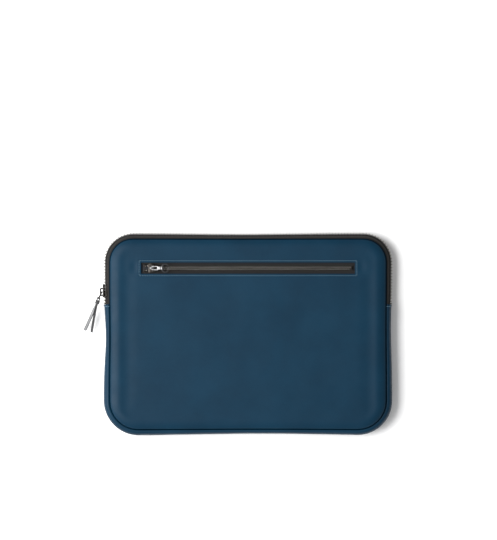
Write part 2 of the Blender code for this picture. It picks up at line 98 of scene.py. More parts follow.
class Shape:
    """A growing list of points and faces, with a flat coordinate and a material index for each."""

    def __init__(self):
        self.points = []
        self.faces = []
        self.flat = []
        self.paint = []

    def ring(self, points, flat=None):
        first = len(self.points)
        self.points.extend(tuple(p) for p in points)
        self.flat.extend(flat or [(p[0], p[1]) for p in points])
        return list(range(first, len(self.points)))

    def face(self, corners, paint=0):
        corners = [c for i, c in enumerate(corners) if c != corners[i - 1]]
        if len(set(corners)) > 2:
            self.faces.append(corners)
            self.paint.append(paint)

    def join(self, before, after, closed=True, paint=None):
        count = len(before)
        for i in range(count if closed else count - 1):
            j = (i + 1) % count
            self.face([before[i], before[j], after[j], after[i]], paint[i] if paint else 0)

    def skin(self, rows):
        for before, after in zip(rows, rows[1:]):
            self.join(before, after, closed=False)

    def loft(self, rings, loop=False, flats=None, paint=None):
        rows = [self.ring(r, flats[i] if flats else None) for i, r in enumerate(rings)]
        for before, after in zip(rows, rows[1:]):
            self.join(before, after, paint=paint)
        if loop:
            self.join(rows[-1], rows[0], paint=paint)
        else:
            self.face(rows[0][::-1])
            self.face(rows[-1])

    def build(self, name, materials, smooth=SOFT_ANGLE):
        mesh = bpy.data.meshes.new(name)
        mesh.from_pydata([(x * MM, y * MM, z * MM) for x, y, z in self.points], [], self.faces)
        mesh.polygons.foreach_set("material_index", self.paint)
        layer = mesh.uv_layers.new(name="flat")
        for loop in mesh.loops:
            layer.data[loop.index].uv = self.flat[loop.vertex_index]
        for material in materials:
            mesh.materials.append(material)
        obj = add_object(name, mesh)
        clean(obj)
        shade(obj, smooth)
        return obj


def add_object(name, data):
    obj = bpy.data.objects.new(name, data)
    bpy.context.scene.collection.objects.link(obj)
    return obj


def clean(obj, merge=False):
    """Faces outward, and no loose points; the flat facets of a CAD mesh are merged if asked."""
    bm = bmesh.new()
    bm.from_mesh(obj.data)
    if merge:
        bmesh.ops.remove_doubles(bm, verts=bm.verts, dist=1e-6)
        bmesh.ops.dissolve_limit(bm, angle_limit=math.radians(1.0), verts=bm.verts, edges=bm.edges)
    bmesh.ops.delete(bm, geom=[v for v in bm.verts if not v.link_faces], context="VERTS")
    bmesh.ops.recalc_face_normals(bm, faces=bm.faces)
    bm.to_mesh(obj.data)
    bm.free()


def shade(obj, angle):
    mesh = obj.data
    mesh.polygons.foreach_set("use_smooth", [True] * len(mesh.polygons))
    mesh.set_sharp_from_angle(angle=math.radians(angle))


def bake(obj):
    """Applies the modifiers to the mesh."""
    bpy.context.view_layer.update()
    shown = obj.evaluated_get(bpy.context.evaluated_depsgraph_get())
    mesh = bpy.data.meshes.new_from_object(shown)
    mesh.name = obj.name
    obj.modifiers.clear()
    obj.data = mesh


def thicken(obj, thickness):
    """Gives a skin its thickness, on the side away from its normals."""
    solid = obj.modifiers.new("thickness", "SOLIDIFY")
    solid.thickness = thickness * MM
    solid.offset = -1.0
    solid.use_even_offset = True
    bake(obj)
    shade(obj, SOFT_ANGLE)
    return obj


def round_section(half_width, half_depth, radius, steps=3):
    """A rectangle with rounded corners, as (across, depth) points."""
    points = []
    for corner, (sx, sy) in enumerate(((1, 1), (-1, 1), (-1, -1), (1, -1))):
        for i in range(steps + 1):
            angle = math.pi / 2 * (corner + i / steps)
            points.append((
                sx * (half_width - radius) + radius * math.cos(angle),
                sy * (half_depth - radius) + radius * math.sin(angle),
            ))
    return points


def tube(shape, path, radii, sides, closed=False):
    """A round tube along a path, with one radius or a radius at each point."""
    path = [Vector(p) for p in path]
    count = len(path)
    if not hasattr(radii, "__len__"):
        radii = [radii] * count
    rings = []
    side = None
    length = 0.0
    flats = []
    for i, point in enumerate(path):
        before = path[i - 1] if closed or i else path[0]
        after = path[(i + 1) % count] if closed or i < count - 1 else path[-1]
        along = (after - before).normalized()
        if side is None:
            guide = Vector((0, 0, 1)) if abs(along.z) < 0.9 else Vector((1, 0, 0))
            side = along.cross(guide).normalized()
        side = (side - along * side.dot(along)).normalized()
        up = along.cross(side)
        angles = [math.tau * k / sides for k in range(sides)]
        rings.append([point + (side * math.cos(a) + up * math.sin(a)) * radii[i] for a in angles])
        flats.append([(length, radii[i] * a) for a in angles])
        length += (after - point).length
    shape.loft(rings, loop=closed, flats=flats)


# ---- the outline and its soft waves


Wave = namedtuple("Wave", "side_x side_y centre spread depth")
# the edge is drawn in a little at the middle of each side, most at the left and along the bottom
WAVES = (
    Wave(0, -1, 15.0, 75.0, 2.3),
    Wave(-1, 0, -3.0, 22.0, 2.3),
    Wave(1, 0, 5.0, 28.0, 1.5),
    Wave(0, 1, -10.0, 60.0, 1.2),
)
WAVE_FADE = ((0.0, 1.0), (SEAM_INSET, 0.27), (20.0, 0.0))


def ramp(stops, value):
    """A piecewise-linear curve through (position, height) stops."""
    if value <= stops[0][0]:
        return stops[0][1]
    for (a, low), (b, high) in zip(stops, stops[1:]):
        if value <= b:
            return low + (high - low) * (value - a) / (b - a)
    return stops[-1][1]


def waved(x, y, z, inset, out_x, out_y):
    """A point moved inward by the soft waves of the edge, which fade away from it."""
    pull = 0.0
    for wave in WAVES:
        facing = max(0.0, out_x * wave.side_x + out_y * wave.side_y)
        along = y if wave.side_x else x
        pull += wave.depth * facing**2 * math.exp(-0.5 * ((along - wave.centre) / wave.spread) ** 2)
    pull *= ramp(WAVE_FADE, inset)
    return x - out_x * pull, y - out_y * pull, z


def clamp(value):
    return min(1.0, max(0.0, value))


class EdgeRoute:
    """The outermost edge of the sleeve above or below the fold, from the left end to the right."""

    def __init__(self, start_y, up, inset):
        self.start_y = start_y
        self.up = up
        self.inset = inset
        self.radius = TOP_RADIUS if up > 0 else BOTTOM_RADIUS
        self.side = abs(up * HALF_HEIGHT - start_y) - self.radius
        self.arc = (self.radius - inset) * math.pi / 2
        self.span = 2 * (HALF_WIDTH - self.radius)
        self.length = 2 * (self.side + self.arc) + self.span

    def at(self, distance):
        if distance > self.length / 2:
            x, y, out_x, out_y = self.at(self.length - distance)
            return -x, y, -out_x, out_y
        if distance <= self.side:
            return -HALF_WIDTH, self.start_y + self.up * distance, -1.0, 0.0
        if distance <= self.side + self.arc:
            angle = (distance - self.side) / (self.radius - self.inset)
            out_x = -math.cos(angle)
            out_y = self.up * math.sin(angle)
            x = self.radius - HALF_WIDTH + self.radius * out_x
            y = self.up * (HALF_HEIGHT - self.radius) + self.radius * out_y
            return x, y, out_x, out_y
        x = self.radius - HALF_WIDTH + distance - self.side - self.arc
        return x, self.up * HALF_HEIGHT, 0.0, float(self.up)

    def point(self, distance, inset, z):
        x, y, out_x, out_y = self.at(distance)
        return Vector(waved(x - out_x * inset, y - out_y * inset, z, inset, out_x, out_y))

    def stations(self, spacing, extra=()):
        count = round(self.length / spacing)
        return sorted({self.length * i / count for i in range(count + 1)} | set(extra))

    def sweep(self, name, profile, stations, thickness, material):
        """A skin through the (inset, z) profile at each station, with its thickness inside."""
        shape = Shape()
        rows = []
        for distance in stations:
            line = profile(distance)
            across = 0.0
            flat = []
            for i, (inset, z) in enumerate(line):
                if i:
                    across += math.hypot(inset - line[i - 1][0], z - line[i - 1][1])
                flat.append((distance, across))
            rows.append(shape.ring([self.point(distance, inset, z) for inset, z in line], flat))
        shape.skin(rows)
        obj = shape.build(name, [material])
        turn_out(obj, self.point(self.length / 2, 0.0, MIDDLE) * MM)
        return thicken(obj, thickness)


def turn_up(obj, up=True):
    """Turns an open skin's normals up or down."""
    if (sum(f.normal.z * f.area for f in obj.data.polygons) > 0) != up:
        obj.data.flip_normals()


def turn_out(obj, toward):
    """Turns an open skin's normals to the side that faces the nearest outside point."""
    nearest = min(obj.data.polygons, key=lambda f: (f.center - toward).length)
    if nearest.normal.dot(toward - Vector((0, 0, toward.z))) < 0:
        obj.data.flip_normals()


# ---- panels


Outline = namedtuple("Outline", "half_x low high low_radius high_radius")


def outline_at(inset):
    """The case's outline drawn in by an inset."""
    return Outline(HALF_WIDTH - inset, -HALF_HEIGHT + inset, HALF_HEIGHT - inset,
                   BOTTOM_RADIUS - inset, TOP_RADIUS - inset)


CORNER_STEPS = 8  # how many faces go round each corner of a panel's rims
# the seam material paints the crease's shade on these rims
SEAM_RIMS = 3  # the rims of a leather panel that lie in the crease at its seam


def grid_lines(low, high, spacing, fine=()):
    """Lines from low to high near a spacing, that keep clear of the finer ones that are given."""
    lines = sorted({low, high, *fine})
    for a, b in list(zip(lines, lines[1:])):
        count = max(1, round((b - a) / spacing))
        lines.extend(a + (b - a) * i / count for i in range(1, count))
    return sorted(lines)


def pad(name, outline, rims, height, xs, ys, material, flip=False, hole=None, seam=None):
    """A panel: rims follow the rounded outline at growing depth, and a grid fills the middle.
    A seam material, a painted shade of the crease, goes on the outermost rims."""
    depth = rims[-1]
    shape = Shape()
    high_x = outline.half_x - depth
    low_y, high_y = outline.low + depth, outline.high - depth

    def out_of(x, y):
        """How deep a point is inside the outline, and the way out."""
        return min(
            (outline.half_x + x, -1.0, 0.0), (outline.half_x - x, 1.0, 0.0),
            (y - outline.low, 0.0, -1.0), (outline.high - y, 0.0, 1.0),
        )

    grid = []
    for y in ys:
        row = []
        for x in xs:
            inset, out_x, out_y = out_of(x, y)
            row.append(waved(x, y, height(x, y, inset), inset + SEAM_INSET, out_x, out_y))
        grid.append(shape.ring(row, [(x, y) for x in xs]))
    for j in range(len(ys) - 1):
        for i in range(len(xs) - 1):
            middle = ((xs[i] + xs[i + 1]) / 2, (ys[j] + ys[j + 1]) / 2)
            if not (hole and hole(*middle)):
                shape.face([grid[j][i], grid[j][i + 1], grid[j + 1][i + 1], grid[j + 1][i]])

    last_x, last_y = len(xs) - 1, len(ys) - 1
    sides = (
        ([(i, 0) for i in range(last_x + 1)], -90.0),
        ([(last_x, j) for j in range(last_y + 1)], 0.0),
        ([(i, last_y) for i in range(last_x, -1, -1)], 90.0),
        ([(0, j) for j in range(last_y, -1, -1)], 180.0),
    )
    # a rim's stations, as (the grid cell it joins, the way out in degrees, is its side straight)
    stations = []
    for cells, angle in sides:
        stations += [(cell, angle, True) for cell in cells]
        for k in range(1, CORNER_STEPS):
            stations.append((cells[-1], angle + 90.0 * k / CORNER_STEPS, False))
    rows = [[grid[j][i] for (i, j), angle, straight in stations]]
    for inset in reversed(rims[:-1]):
        share = 1 - inset / depth
        r_low = outline.low_radius * share
        r_high = outline.high_radius * share
        bottom = outline.low + inset + r_low
        top = outline.high - inset - r_high
        half_x = outline.half_x - inset
        points = []
        flats = []
        for (i, j), angle, straight in stations:
            a = math.radians(angle)
            out_x, out_y = math.cos(a), math.sin(a)
            radius, centre_y = (r_low, bottom) if j == 0 else (r_high, top)
            if straight and abs(out_y) > 0.5:
                x = xs[i] / high_x * (half_x - radius)
                y = outline.low + inset if j == 0 else outline.high - inset
            elif straight:
                share_y = (ys[j] - low_y) / (high_y - low_y)
                x = math.copysign(half_x, out_x)
                y = bottom + (top - bottom) * share_y
            else:
                x = math.copysign(half_x - radius, xs[i]) + radius * out_x
                y = centre_y + radius * out_y
            flats.append((x, y))
            points.append(waved(x, y, height(x, y, inset), inset + SEAM_INSET, out_x, out_y))
        rows.append(shape.ring(points, flats))
    # the outermost rims take the seam material: painted shade in the crease
    for k, (before, after) in enumerate(zip(rows, rows[1:])):
        shade_at_seam = seam is not None and k >= len(rows) - 1 - SEAM_RIMS
        shape.join(before, after, paint=[int(shade_at_seam)] * len(before))
    obj = shape.build(name, [material, seam] if seam else [material])
    turn_up(obj, not flip)
    return obj


def smooth(value):
    value = clamp(value)
    return value * value * (3 - 2 * value)


def face_rise(x, y, inset):
    """How far a leather panel's surface stands above its seam: a rim, then a slight dip inside it."""
    share = min(inset / 12.0, 1.0)
    dome = SEAM_RISE * math.sqrt(max(0.0, 1 - (1 - share) ** 2))
    from_side = HALF_WIDTH - abs(x)
    from_end = HALF_HEIGHT - abs(y)
    full = 0.3 + 0.7 * smooth((from_end - from_side) / 50.0 + 0.5)
    ridge = 0.32 * math.exp(-(((inset - 11.0) / 5.0) ** 2)) * share
    dip = 0.45 * math.exp(-(((inset - 21.0) / 7.5) ** 2))
    crease = 0.4 * math.exp(-inset / 0.7)
    return dome + full * (ridge - dip) - crease


def bump_at(x, y, centre_x, centre_y, spread_x, spread_y):
    return math.exp(-(((x - centre_x) / spread_x) ** 2) - ((y - centre_y) / spread_y) ** 2)


STITCH_INSET = 2.2


def window_distance(x, y):
    """How far outside the pocket's window a point is."""
    dx = abs(x) - WINDOW_HALF_WIDTH
    dy = abs(y - WINDOW_Y) - WINDOW_HALF_HEIGHT
    if dx < 0 and dy < 0:
        return max(dx, dy)
    return math.hypot(max(dx, 0.0), max(dy, 0.0))


def front_height(x, y, inset):
    z = THICKNESS - SEAM_RISE + face_rise(x, y, inset)
    inside = min(1.0, inset / 14.0)
    z += 0.32 * noise.noise(Vector((x / 62.0, y / 48.0, 3.1))) * inside
    z += 0.10 * noise.noise(Vector((x / 21.0, y / 24.0, 8.4))) * inside
    for side in (-1, 1):
        z -= 0.75 * bump_at(x, y, side * 129.5, WINDOW_Y + 1.5, 3.6, 5.5)
        z += 0.25 * bump_at(x, y, side * 137.0, WINDOW_Y + 1.5, 5.0, 9.0)
    z -= 0.35 * bump_at(x, y, -25.0, -101.0, 16.0, 3.0)
    z -= 0.25 * bump_at(x, y, 70.0, -30.0, 55.0, 30.0)
    near = max(0.0, window_distance(x, y))
    z -= 0.3 * math.exp(-near / 1.2)
    z -= 0.14 * math.exp(-(((near - STITCH_INSET) / 0.6) ** 2))
    return z


def back_height(x, y, inset):
    z = SEAM_RISE - face_rise(x, y, inset)
    return max(0.0, z + 0.25 * abs(noise.noise(Vector((x / 55.0, y / 50.0, 21.7)))) * min(1.0, inset / 14.0))


RIMS = [0.0, 0.35, 0.8, 1.4, 2.2, 3.2, 4.5, 6.0, 7.8, 9.8, 12.0, 14.5, 17.0, 19.5, 22.0, 24.0]
SOFT_RIMS = [0.0, 0.5, 1.2, 2.2, 4.0, 7.0, 11.0, 16.0, 21.0]


def panel_lines(outline, depth, spacing, fine_x=(), fine_y=()):
    half_x = outline.half_x - depth
    return (grid_lines(-half_x, half_x, spacing, fine_x),
            grid_lines(outline.low + depth, outline.high - depth, spacing, fine_y))


def fold_blend(piece):
    """Bakes the placement of a piece that spans the fold, above the ends of the main zip, into its mesh."""
    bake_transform(piece)


def stand_for(piece, nodes, body=None):
    """The piece stands for CAD nodes, which are hidden, and rides on a body, or else has its placement baked
    in.
    """
    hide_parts(*nodes)
    if body:
        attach(piece, body)
    else:
        fold_blend(piece)


# ---- materials


class Paint:
    """A node-based material, with short calls for its nodes."""

    def __init__(self, name, **values):
        self.material = bpy.data.materials.new(name)
        self.material.use_nodes = True
        self.nodes = self.material.node_tree.nodes
        self.links = self.material.node_tree.links
        self.shader = self.nodes["Principled BSDF"]
        for key, value in values.items():
            self.shader.inputs[key.replace("_", " ")].default_value = value
        self.place = self.add("ShaderNodeTexCoord").outputs["Object"]

    def add(self, kind, values=None, **settings):
        node = self.nodes.new(kind)
        for key, value in settings.items():
            setattr(node, key, value)
        for key, value in (values or {}).items():
            socket = node.inputs[key]
            if isinstance(value, bpy.types.NodeSocket):
                self.links.new(value, socket)
            else:
                socket.default_value = (*value, 1.0) if socket.type == "RGBA" else value
        return node

    def flat(self):
        """The flat coordinates, in millimetres."""
        place = self.add("ShaderNodeUVMap", uv_map="flat").outputs["UV"]
        return self.add("ShaderNodeSeparateXYZ", {"Vector": place}).outputs

    def noise(self, size, detail=3.0, roughness=0.55, stretch=(1, 1, 1)):
        """Noise whose features are about size millimetres across."""
        scale = tuple(s / (MM * size) for s in stretch)
        mapping = self.add("ShaderNodeMapping", {"Vector": self.place, "Scale": scale})
        values = {"Vector": mapping.outputs[0], "Scale": 1.0, "Detail": detail, "Roughness": roughness}
        return self.add("ShaderNodeTexNoise", values).outputs["Fac"]

    def cells(self, size):
        values = {"Vector": self.place, "Scale": 1.0 / (MM * size)}
        return self.add("ShaderNodeTexVoronoi", values).outputs["Distance"]

    def math(self, operation, a, b=0.0):
        return self.add("ShaderNodeMath", {0: a, 1: b}, operation=operation).outputs[0]

    def sum(self, a, share, b):
        """A share of one value, and the rest from the other."""
        return self.math("ADD", self.math("MULTIPLY", a, share), self.math("MULTIPLY", b, 1 - share))

    def between(self, value, low, high, to_low=0.0, to_high=1.0):
        names = ("From Min", "From Max", "To Min", "To Max")
        values = dict(zip(names, (low, high, to_low, to_high)))
        return self.add("ShaderNodeMapRange", {"Value": value, **values}).outputs[0]

    def colour(self, share, dark, light):
        mix = self.add("ShaderNodeMix", {0: share, 6: dark, 7: light}, data_type="RGBA")
        self.links.new(mix.outputs[2], self.shader.inputs["Base Color"])

    def roughness(self, value, low, high):
        """Takes the middle of a noise's range to the roughness from low to high."""
        self.links.new(self.between(value, 0.3, 0.7, low, high), self.shader.inputs["Roughness"])

    def bump(self, height, millimetres, strength):
        values = {"Height": height, "Distance": millimetres * MM, "Strength": strength}
        self.links.new(self.add("ShaderNodeBump", values).outputs[0], self.shader.inputs["Normal"])


def leather_paint(name, dark, light, rough=(0.44, 0.54), gloss=0.12):
    """Smooth coated leather: a fine pebble, soft mottling and a little change of gloss."""
    paint = Paint(name, Specular_IOR_Level=gloss)
    mottle = paint.noise(38.0, 4.0, 0.5)
    speck = paint.noise(1.6)
    tone = paint.sum(mottle, 0.75, speck)
    paint.colour(paint.between(tone, 0.35, 0.65), dark, light)
    paint.roughness(paint.noise(14.0), *rough)
    pebble = paint.math("SUBTRACT", 1.0, paint.cells(0.75))
    fine = paint.noise(0.35, 4.0)
    paint.bump(paint.sum(pebble, 0.6, fine), 0.035, 0.7)
    return paint.material


def woven_paint(name, dark, light, pitch, depth, rough=0.8):
    """A plain weave on the flat coordinates, in millimetres."""
    paint = Paint(name, Specular_IOR_Level=0.12, Sheen_Weight=0.04)
    turns = [paint.math("MULTIPLY", axis, math.tau / pitch) for axis in paint.flat()[:2]]
    weave = paint.math("MULTIPLY", paint.math("SINE", turns[0]), paint.math("SINE", turns[1]))
    fuzz = paint.noise(0.3)
    height = paint.math("ADD", paint.math("MULTIPLY", weave, 0.35), fuzz)
    threads = paint.between(weave, -1.0, 1.0, 0.1, 0.7)
    tone = paint.math("ADD", threads, paint.between(fuzz, 0.3, 0.7, -0.15, 0.3))
    paint.colour(paint.between(tone, 0.0, 1.0), dark, light)
    paint.roughness(fuzz, rough - 0.08, rough + 0.1)
    paint.bump(height, depth, 0.8)
    return paint.material


def metal_paint(name, dark, light, rough):
    """Plated metal with faint clouding and fine scratches."""
    paint = Paint(name, Metallic=1.0)
    cloud = paint.noise(2.5, 4.0)
    scratch = paint.noise(0.5, 2.0, stretch=(1.0, 0.18, 1.0))
    paint.colour(paint.between(cloud, 0.35, 0.65), dark, light)
    paint.roughness(paint.sum(cloud, 0.6, scratch), rough - 0.06, rough + 0.09)
    paint.bump(scratch, 0.02, 0.6)
    return paint.material


def tooth_paint(name, dark, wear_and_glint, rough):
    """Blackened teeth, lighter along their tops: partly rubbed wear, partly a painted glint; the flat
    coordinate's height is 1 at the top.
    """
    paint = Paint(name, Metallic=1.0)
    cloud = paint.noise(0.9)
    top = paint.math("ADD", paint.flat()[1], paint.between(cloud, 0.3, 0.7, -0.12, 0.12))
    paint.colour(paint.between(top, 0.55, 0.98), dark, wear_and_glint)
    paint.roughness(cloud, rough - 0.05, rough + 0.08)
    paint.bump(cloud, 0.02, 0.15)
    return paint.material


def foam_paint(name):
    paint = Paint(name, Specular_IOR_Level=0.2)
    cell = paint.cells(0.9)
    paint.colour(paint.between(cell, 0.0, 0.8), (0.055, 0.057, 0.06), (0.11, 0.112, 0.118))
    paint.roughness(paint.noise(3.0), 0.86, 0.98)
    paint.bump(cell, 0.2, 0.9)
    return paint.material


def thread_paint(name, dark, light):
    """Twisted sewing thread: slanting strands along the flat coordinates."""
    paint = Paint(name, Specular_IOR_Level=0.4, Sheen_Weight=0.2)
    flat = paint.flat()
    slant = paint.math("ADD", flat[0], paint.math("MULTIPLY", flat[1], 1.2))
    strand = paint.math("SINE", paint.math("MULTIPLY", slant, math.tau / 0.45))
    paint.colour(paint.between(strand, -1.0, 1.0), dark, light)
    paint.roughness(paint.noise(0.4), 0.5, 0.68)
    paint.bump(strand, 0.05, 0.6)
    return paint.material


BLUE = leather_paint("blue_leather_fine", (0.0010, 0.0178, 0.0375), (0.0018, 0.0228, 0.0465))
# painted shade: a darker, matt blue for the crease along each panel's seam
SEAM_SHADE_BLUE = leather_paint(
    "seam_crease_shade", (0.0004, 0.0060, 0.0125), (0.0007, 0.0085, 0.0170), (0.6, 0.75), 0.0
)
# painted shade: near-black blue for the insides of the stitch holes
HOLE_SHADE = leather_paint("stitch_hole_shade", (0.0005, 0.003, 0.007), (0.001, 0.005, 0.011), (0.7, 0.85), 0.1)
LINING_CLOTH = woven_paint("lining_weave", (0.022, 0.024, 0.028), (0.055, 0.058, 0.066), 0.9, 0.12)
TAPE = woven_paint("zip_tape_weave", (0.006, 0.0057, 0.0056), (0.019, 0.0178, 0.0172), 0.8, 0.1, 0.78)
FOAM_CELLS = foam_paint("foam_cells")
GUNMETAL = metal_paint("gunmetal_plate", (0.012, 0.011, 0.010), (0.036, 0.033, 0.03), 0.27)
# the light tops are partly rubbed plating, partly a painted glint
TOOTH_METAL = tooth_paint("tooth_metal", (0.005, 0.0045, 0.004), (0.5, 0.47, 0.42), 0.3)
STEEL = metal_paint("pull_steel", (0.09, 0.09, 0.092), (0.17, 0.17, 0.172), 0.3)
THREAD = thread_paint("blue_thread", (0.06, 0.145, 0.215), (0.13, 0.25, 0.34))
STRAP_DARK = leather_paint("strap_edge", (0.012, 0.012, 0.013), (0.03, 0.03, 0.032), (0.4, 0.55), 0.4)
# painted highlight: the strap is dark leather, and the light grey of one wide face stands for its sheen
STRAP_FACE_SHEEN = leather_paint("strap_face_sheen", (0.15, 0.152, 0.156), (0.24, 0.243, 0.248), (0.34, 0.44), 0.35)


# ---- front and back


def build_front():
    outline = outline_at(SEAM_INSET)
    near = (0.0, 0.45, 1.0, 1.6, 2.2, 2.8, 3.6, 4.8, 6.4)
    fine_x = [side * (WINDOW_HALF_WIDTH + n) for side in (-1, 1) for n in near]
    fine_y = [WINDOW_Y + side * (WINDOW_HALF_HEIGHT + n) for side in (-1, 1) for n in near]
    fine_x = [x for x in fine_x if abs(x) < outline.half_x - RIMS[-1] - 0.5]
    fine_y = [y for y in fine_y if y < outline.high - RIMS[-1] - 0.3]
    xs, ys = panel_lines(outline, RIMS[-1], 3.0, fine_x, fine_y)
    # the seam material is painted shade in the crease at the panel's edge
    panel = pad("front_leather", outline, RIMS, front_height, xs, ys, BLUE, seam=SEAM_SHADE_BLUE,
                hole=lambda x, y: window_distance(x, y) < 0)
    thicken(panel, LEATHER)
    stand_for(panel, ("front_panel_lower", "front_panel_upper"))


def build_back():
    outline = outline_at(SEAM_INSET)
    xs, ys = panel_lines(outline, RIMS[-1], 5.0)
    # the seam material is painted shade in the crease at the panel's edge
    panel = pad("back_leather", outline, RIMS, back_height, xs, ys, BLUE, flip=True, seam=SEAM_SHADE_BLUE)
    thicken(panel, LEATHER)
    stand_for(panel, ("back_panel",), "case")


def layer(name, inset, top, thickness, material, curl=0.0, flip=False, seed=0.0):
    """A flat inner layer, with its edge curled by a height and a faint unevenness."""
    outline = outline_at(inset)

    def height(x, y, depth):
        uneven = 0.12 * noise.noise(Vector((x / 40.0, y / 40.0, seed)))
        return top + curl * math.exp(-depth / 0.9) + uneven * min(1.0, depth / 6.0)

    xs, ys = panel_lines(outline, SOFT_RIMS[-1], 6.0)
    piece = pad(name, outline, SOFT_RIMS, height, xs, ys, material, flip=flip)
    return thicken(piece, thickness)


def build_layers():
    """The foam and the linings inside the front and the back."""
    front, back = ("front_lining_lower", "front_lining_upper"), ("back_lining",)
    for side, nodes, body, top, curl, seed in (
        ("front", front, None, 19.72, 2.2, 1.5), ("back", back, "case", 4.88, 0.3, 2.5)
    ):
        piece = layer(f"{side}_lining_cloth", LINING_INSET, top, LINING, LINING_CLOTH, curl=curl,
                      flip=side == "front", seed=seed)
        stand_for(piece, nodes, body)

    piece = layer("front_foam_pad", 9.0, 23.0, 2.4, FOAM_CELLS, curl=-0.5, seed=3.5)
    stand_for(piece, ("front_foam_lower", "front_foam_upper"))

    piece = layer("back_foam_pad", 10.0, 3.95, 2.2, FOAM_CELLS, curl=-0.3, seed=4.5)
    stand_for(piece, ("back_foam",), "case")


def build_pocket_lining():
    """The pocket's back wall, a plain rounded rectangle under the leather."""
    low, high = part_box("pocket_lining_lower"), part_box("pocket_lining_upper")
    top = low[1].z / MM
    outline = Outline(low[1].x / MM, low[0].y / MM, high[1].y / MM, 9.0, 9.0)

    def height(x, y, inset):
        wrinkle = 0.10 * noise.noise(Vector((x / 30.0, y / 22.0, 6.6)))
        return top - 0.1 + wrinkle * min(1.0, inset / 5.0)

    rims = [0.0, 0.6, 1.6, 3.5, 6.5, 9.5]
    xs, ys = panel_lines(outline, rims[-1], 5.0)
    piece = pad("pocket_lining", outline, rims, height, xs, ys, LINING_CLOTH)
    thicken(piece, 0.45)
    stand_for(piece, ("pocket_lining_lower", "pocket_lining_upper"))


# ---- edge band


BAND_LINE = (
    (6.85, 7.95), (6.45, 8.35), (5.85, 8.66), (5.05, 8.72), (4.15, 8.5), (3.25, 8.0), (2.4, 7.25),
    (1.65, 6.2), (1.0, 4.95), (0.45, 3.4), (0.1, 1.75), (0.0, 0.0),
)


def band_profile(grow=0.0):
    """The band's section from the back seam to the front one, as (inset, z) points."""
    upper = [(inset - grow, MIDDLE + height) for inset, height in BAND_LINE]
    lower = [(inset, 2 * MIDDLE - z) for inset, z in upper]
    return lower[:-1] + upper[::-1]


def build_band():
    route = EdgeRoute(FOLD_Y - 0.15, -1, 0.0)
    hem = 3.4

    def profile(distance):
        end = min(distance, route.length - distance)
        fold = math.exp(-((end - 1.1) / 1.3) ** 2) * 0.55 - 0.5 * max(0.0, 1 - end / 0.5) ** 2
        groove = 0.12 * math.exp(-(((end - 2.3) / 0.55) ** 2))
        wave = 0.12 * noise.noise(Vector((distance / 24.0, 2.2, 0.4)))
        return band_profile(fold - groove + wave)

    ends = [0.2, 0.5, 0.9, 1.4, 1.9, 2.3, 2.7, 3.2, hem]
    extra = ends + [route.length - e for e in ends]
    band = route.sweep("edge_band", profile, route.stations(3.0, extra), LEATHER, BLUE)
    stand_for(band, ("lower_gusset",), "case")

    def facing_profile(distance):
        return [(LEATHER + 0.6 + (5.9 - 0.6) * abs(h / 7.9) ** 2.4, MIDDLE + h)
                for h in (-7.9, -7.0, -5.5, -3.5, -1.2, 1.2, 3.5, 5.5, 7.0, 7.9)]

    facing = route.sweep("band_lining", facing_profile, route.stations(6.0), LINING, LINING_CLOTH)
    stand_for(facing, ("gusset_lining",), "case")
    return route


# ---- zips


def spread_at(zipper, along):
    """How far a row of teeth stands out from the closed line, at a distance along from the slider."""
    shut = zipper.slider_length / 6
    parted = -zipper.slider_length / 10
    return zipper.spread * clamp((shut - along) / (shut - parted))


Cut = namedtuple("Cut", "across half_length half_thickness")
TOOTH_CUTS = (
    Cut(-1.0, 0.30, 0.40), Cut(-0.85, 0.60, 0.66), Cut(-0.35, 0.76, 0.78), Cut(0.25, 0.62, 0.74),
    Cut(0.6, 0.52, 0.90), Cut(1.5, 0.58, 0.98), Cut(2.6, 0.64, 1.0), Cut(2.95, 0.46, 0.75),
)
TOOTH_SHARE = 0.8  # the rest of the pitch is left as gaps
ROW_STEP = 0.65  # the chain is rolled a little, so the back row stands out further than the front one


def tooth(shape, zipper, place, side, lean):
    """One tooth: place maps (along, across, outward) to the world, and side is its row's."""
    scale = zipper.half_width / 3.0
    bite = zipper.head / 0.9
    rings = []
    flats = []
    for cut in TOOTH_CUTS:
        across = cut.across * (bite if cut.across < 0 else scale)
        half_length = cut.half_length * zipper.pitch / 3.5 * TOOTH_SHARE
        half_thickness = cut.half_thickness * zipper.half_thickness
        section = round_section(half_length, half_thickness, min(half_length, half_thickness) * 0.42, 2)
        rings.append([place(a - lean * abs(across), side * across, o) for a, o in section])
        # the light top, partly wear and partly a painted glint, runs along the arms of the pocket's teeth
        # and all of the main zip's
        rub_and_glint = 1.0 if 0.4 < across < 2.4 * scale or zipper is MAIN_ZIP else 0.3
        flats.append([(a / half_length, rub_and_glint * o / half_thickness) for a, o in section])
    shape.loft(rings, flats=flats)


TAPE_LINE = (
    (1.7, 2.0), (1.75, 2.7), (2.6, 3.15), (3.4, 3.9), (4.0, 5.0), (4.5, 6.2), (5.1, 7.2), (5.9, 7.9),
    (6.9, 8.25), (7.8, 8.15),
)


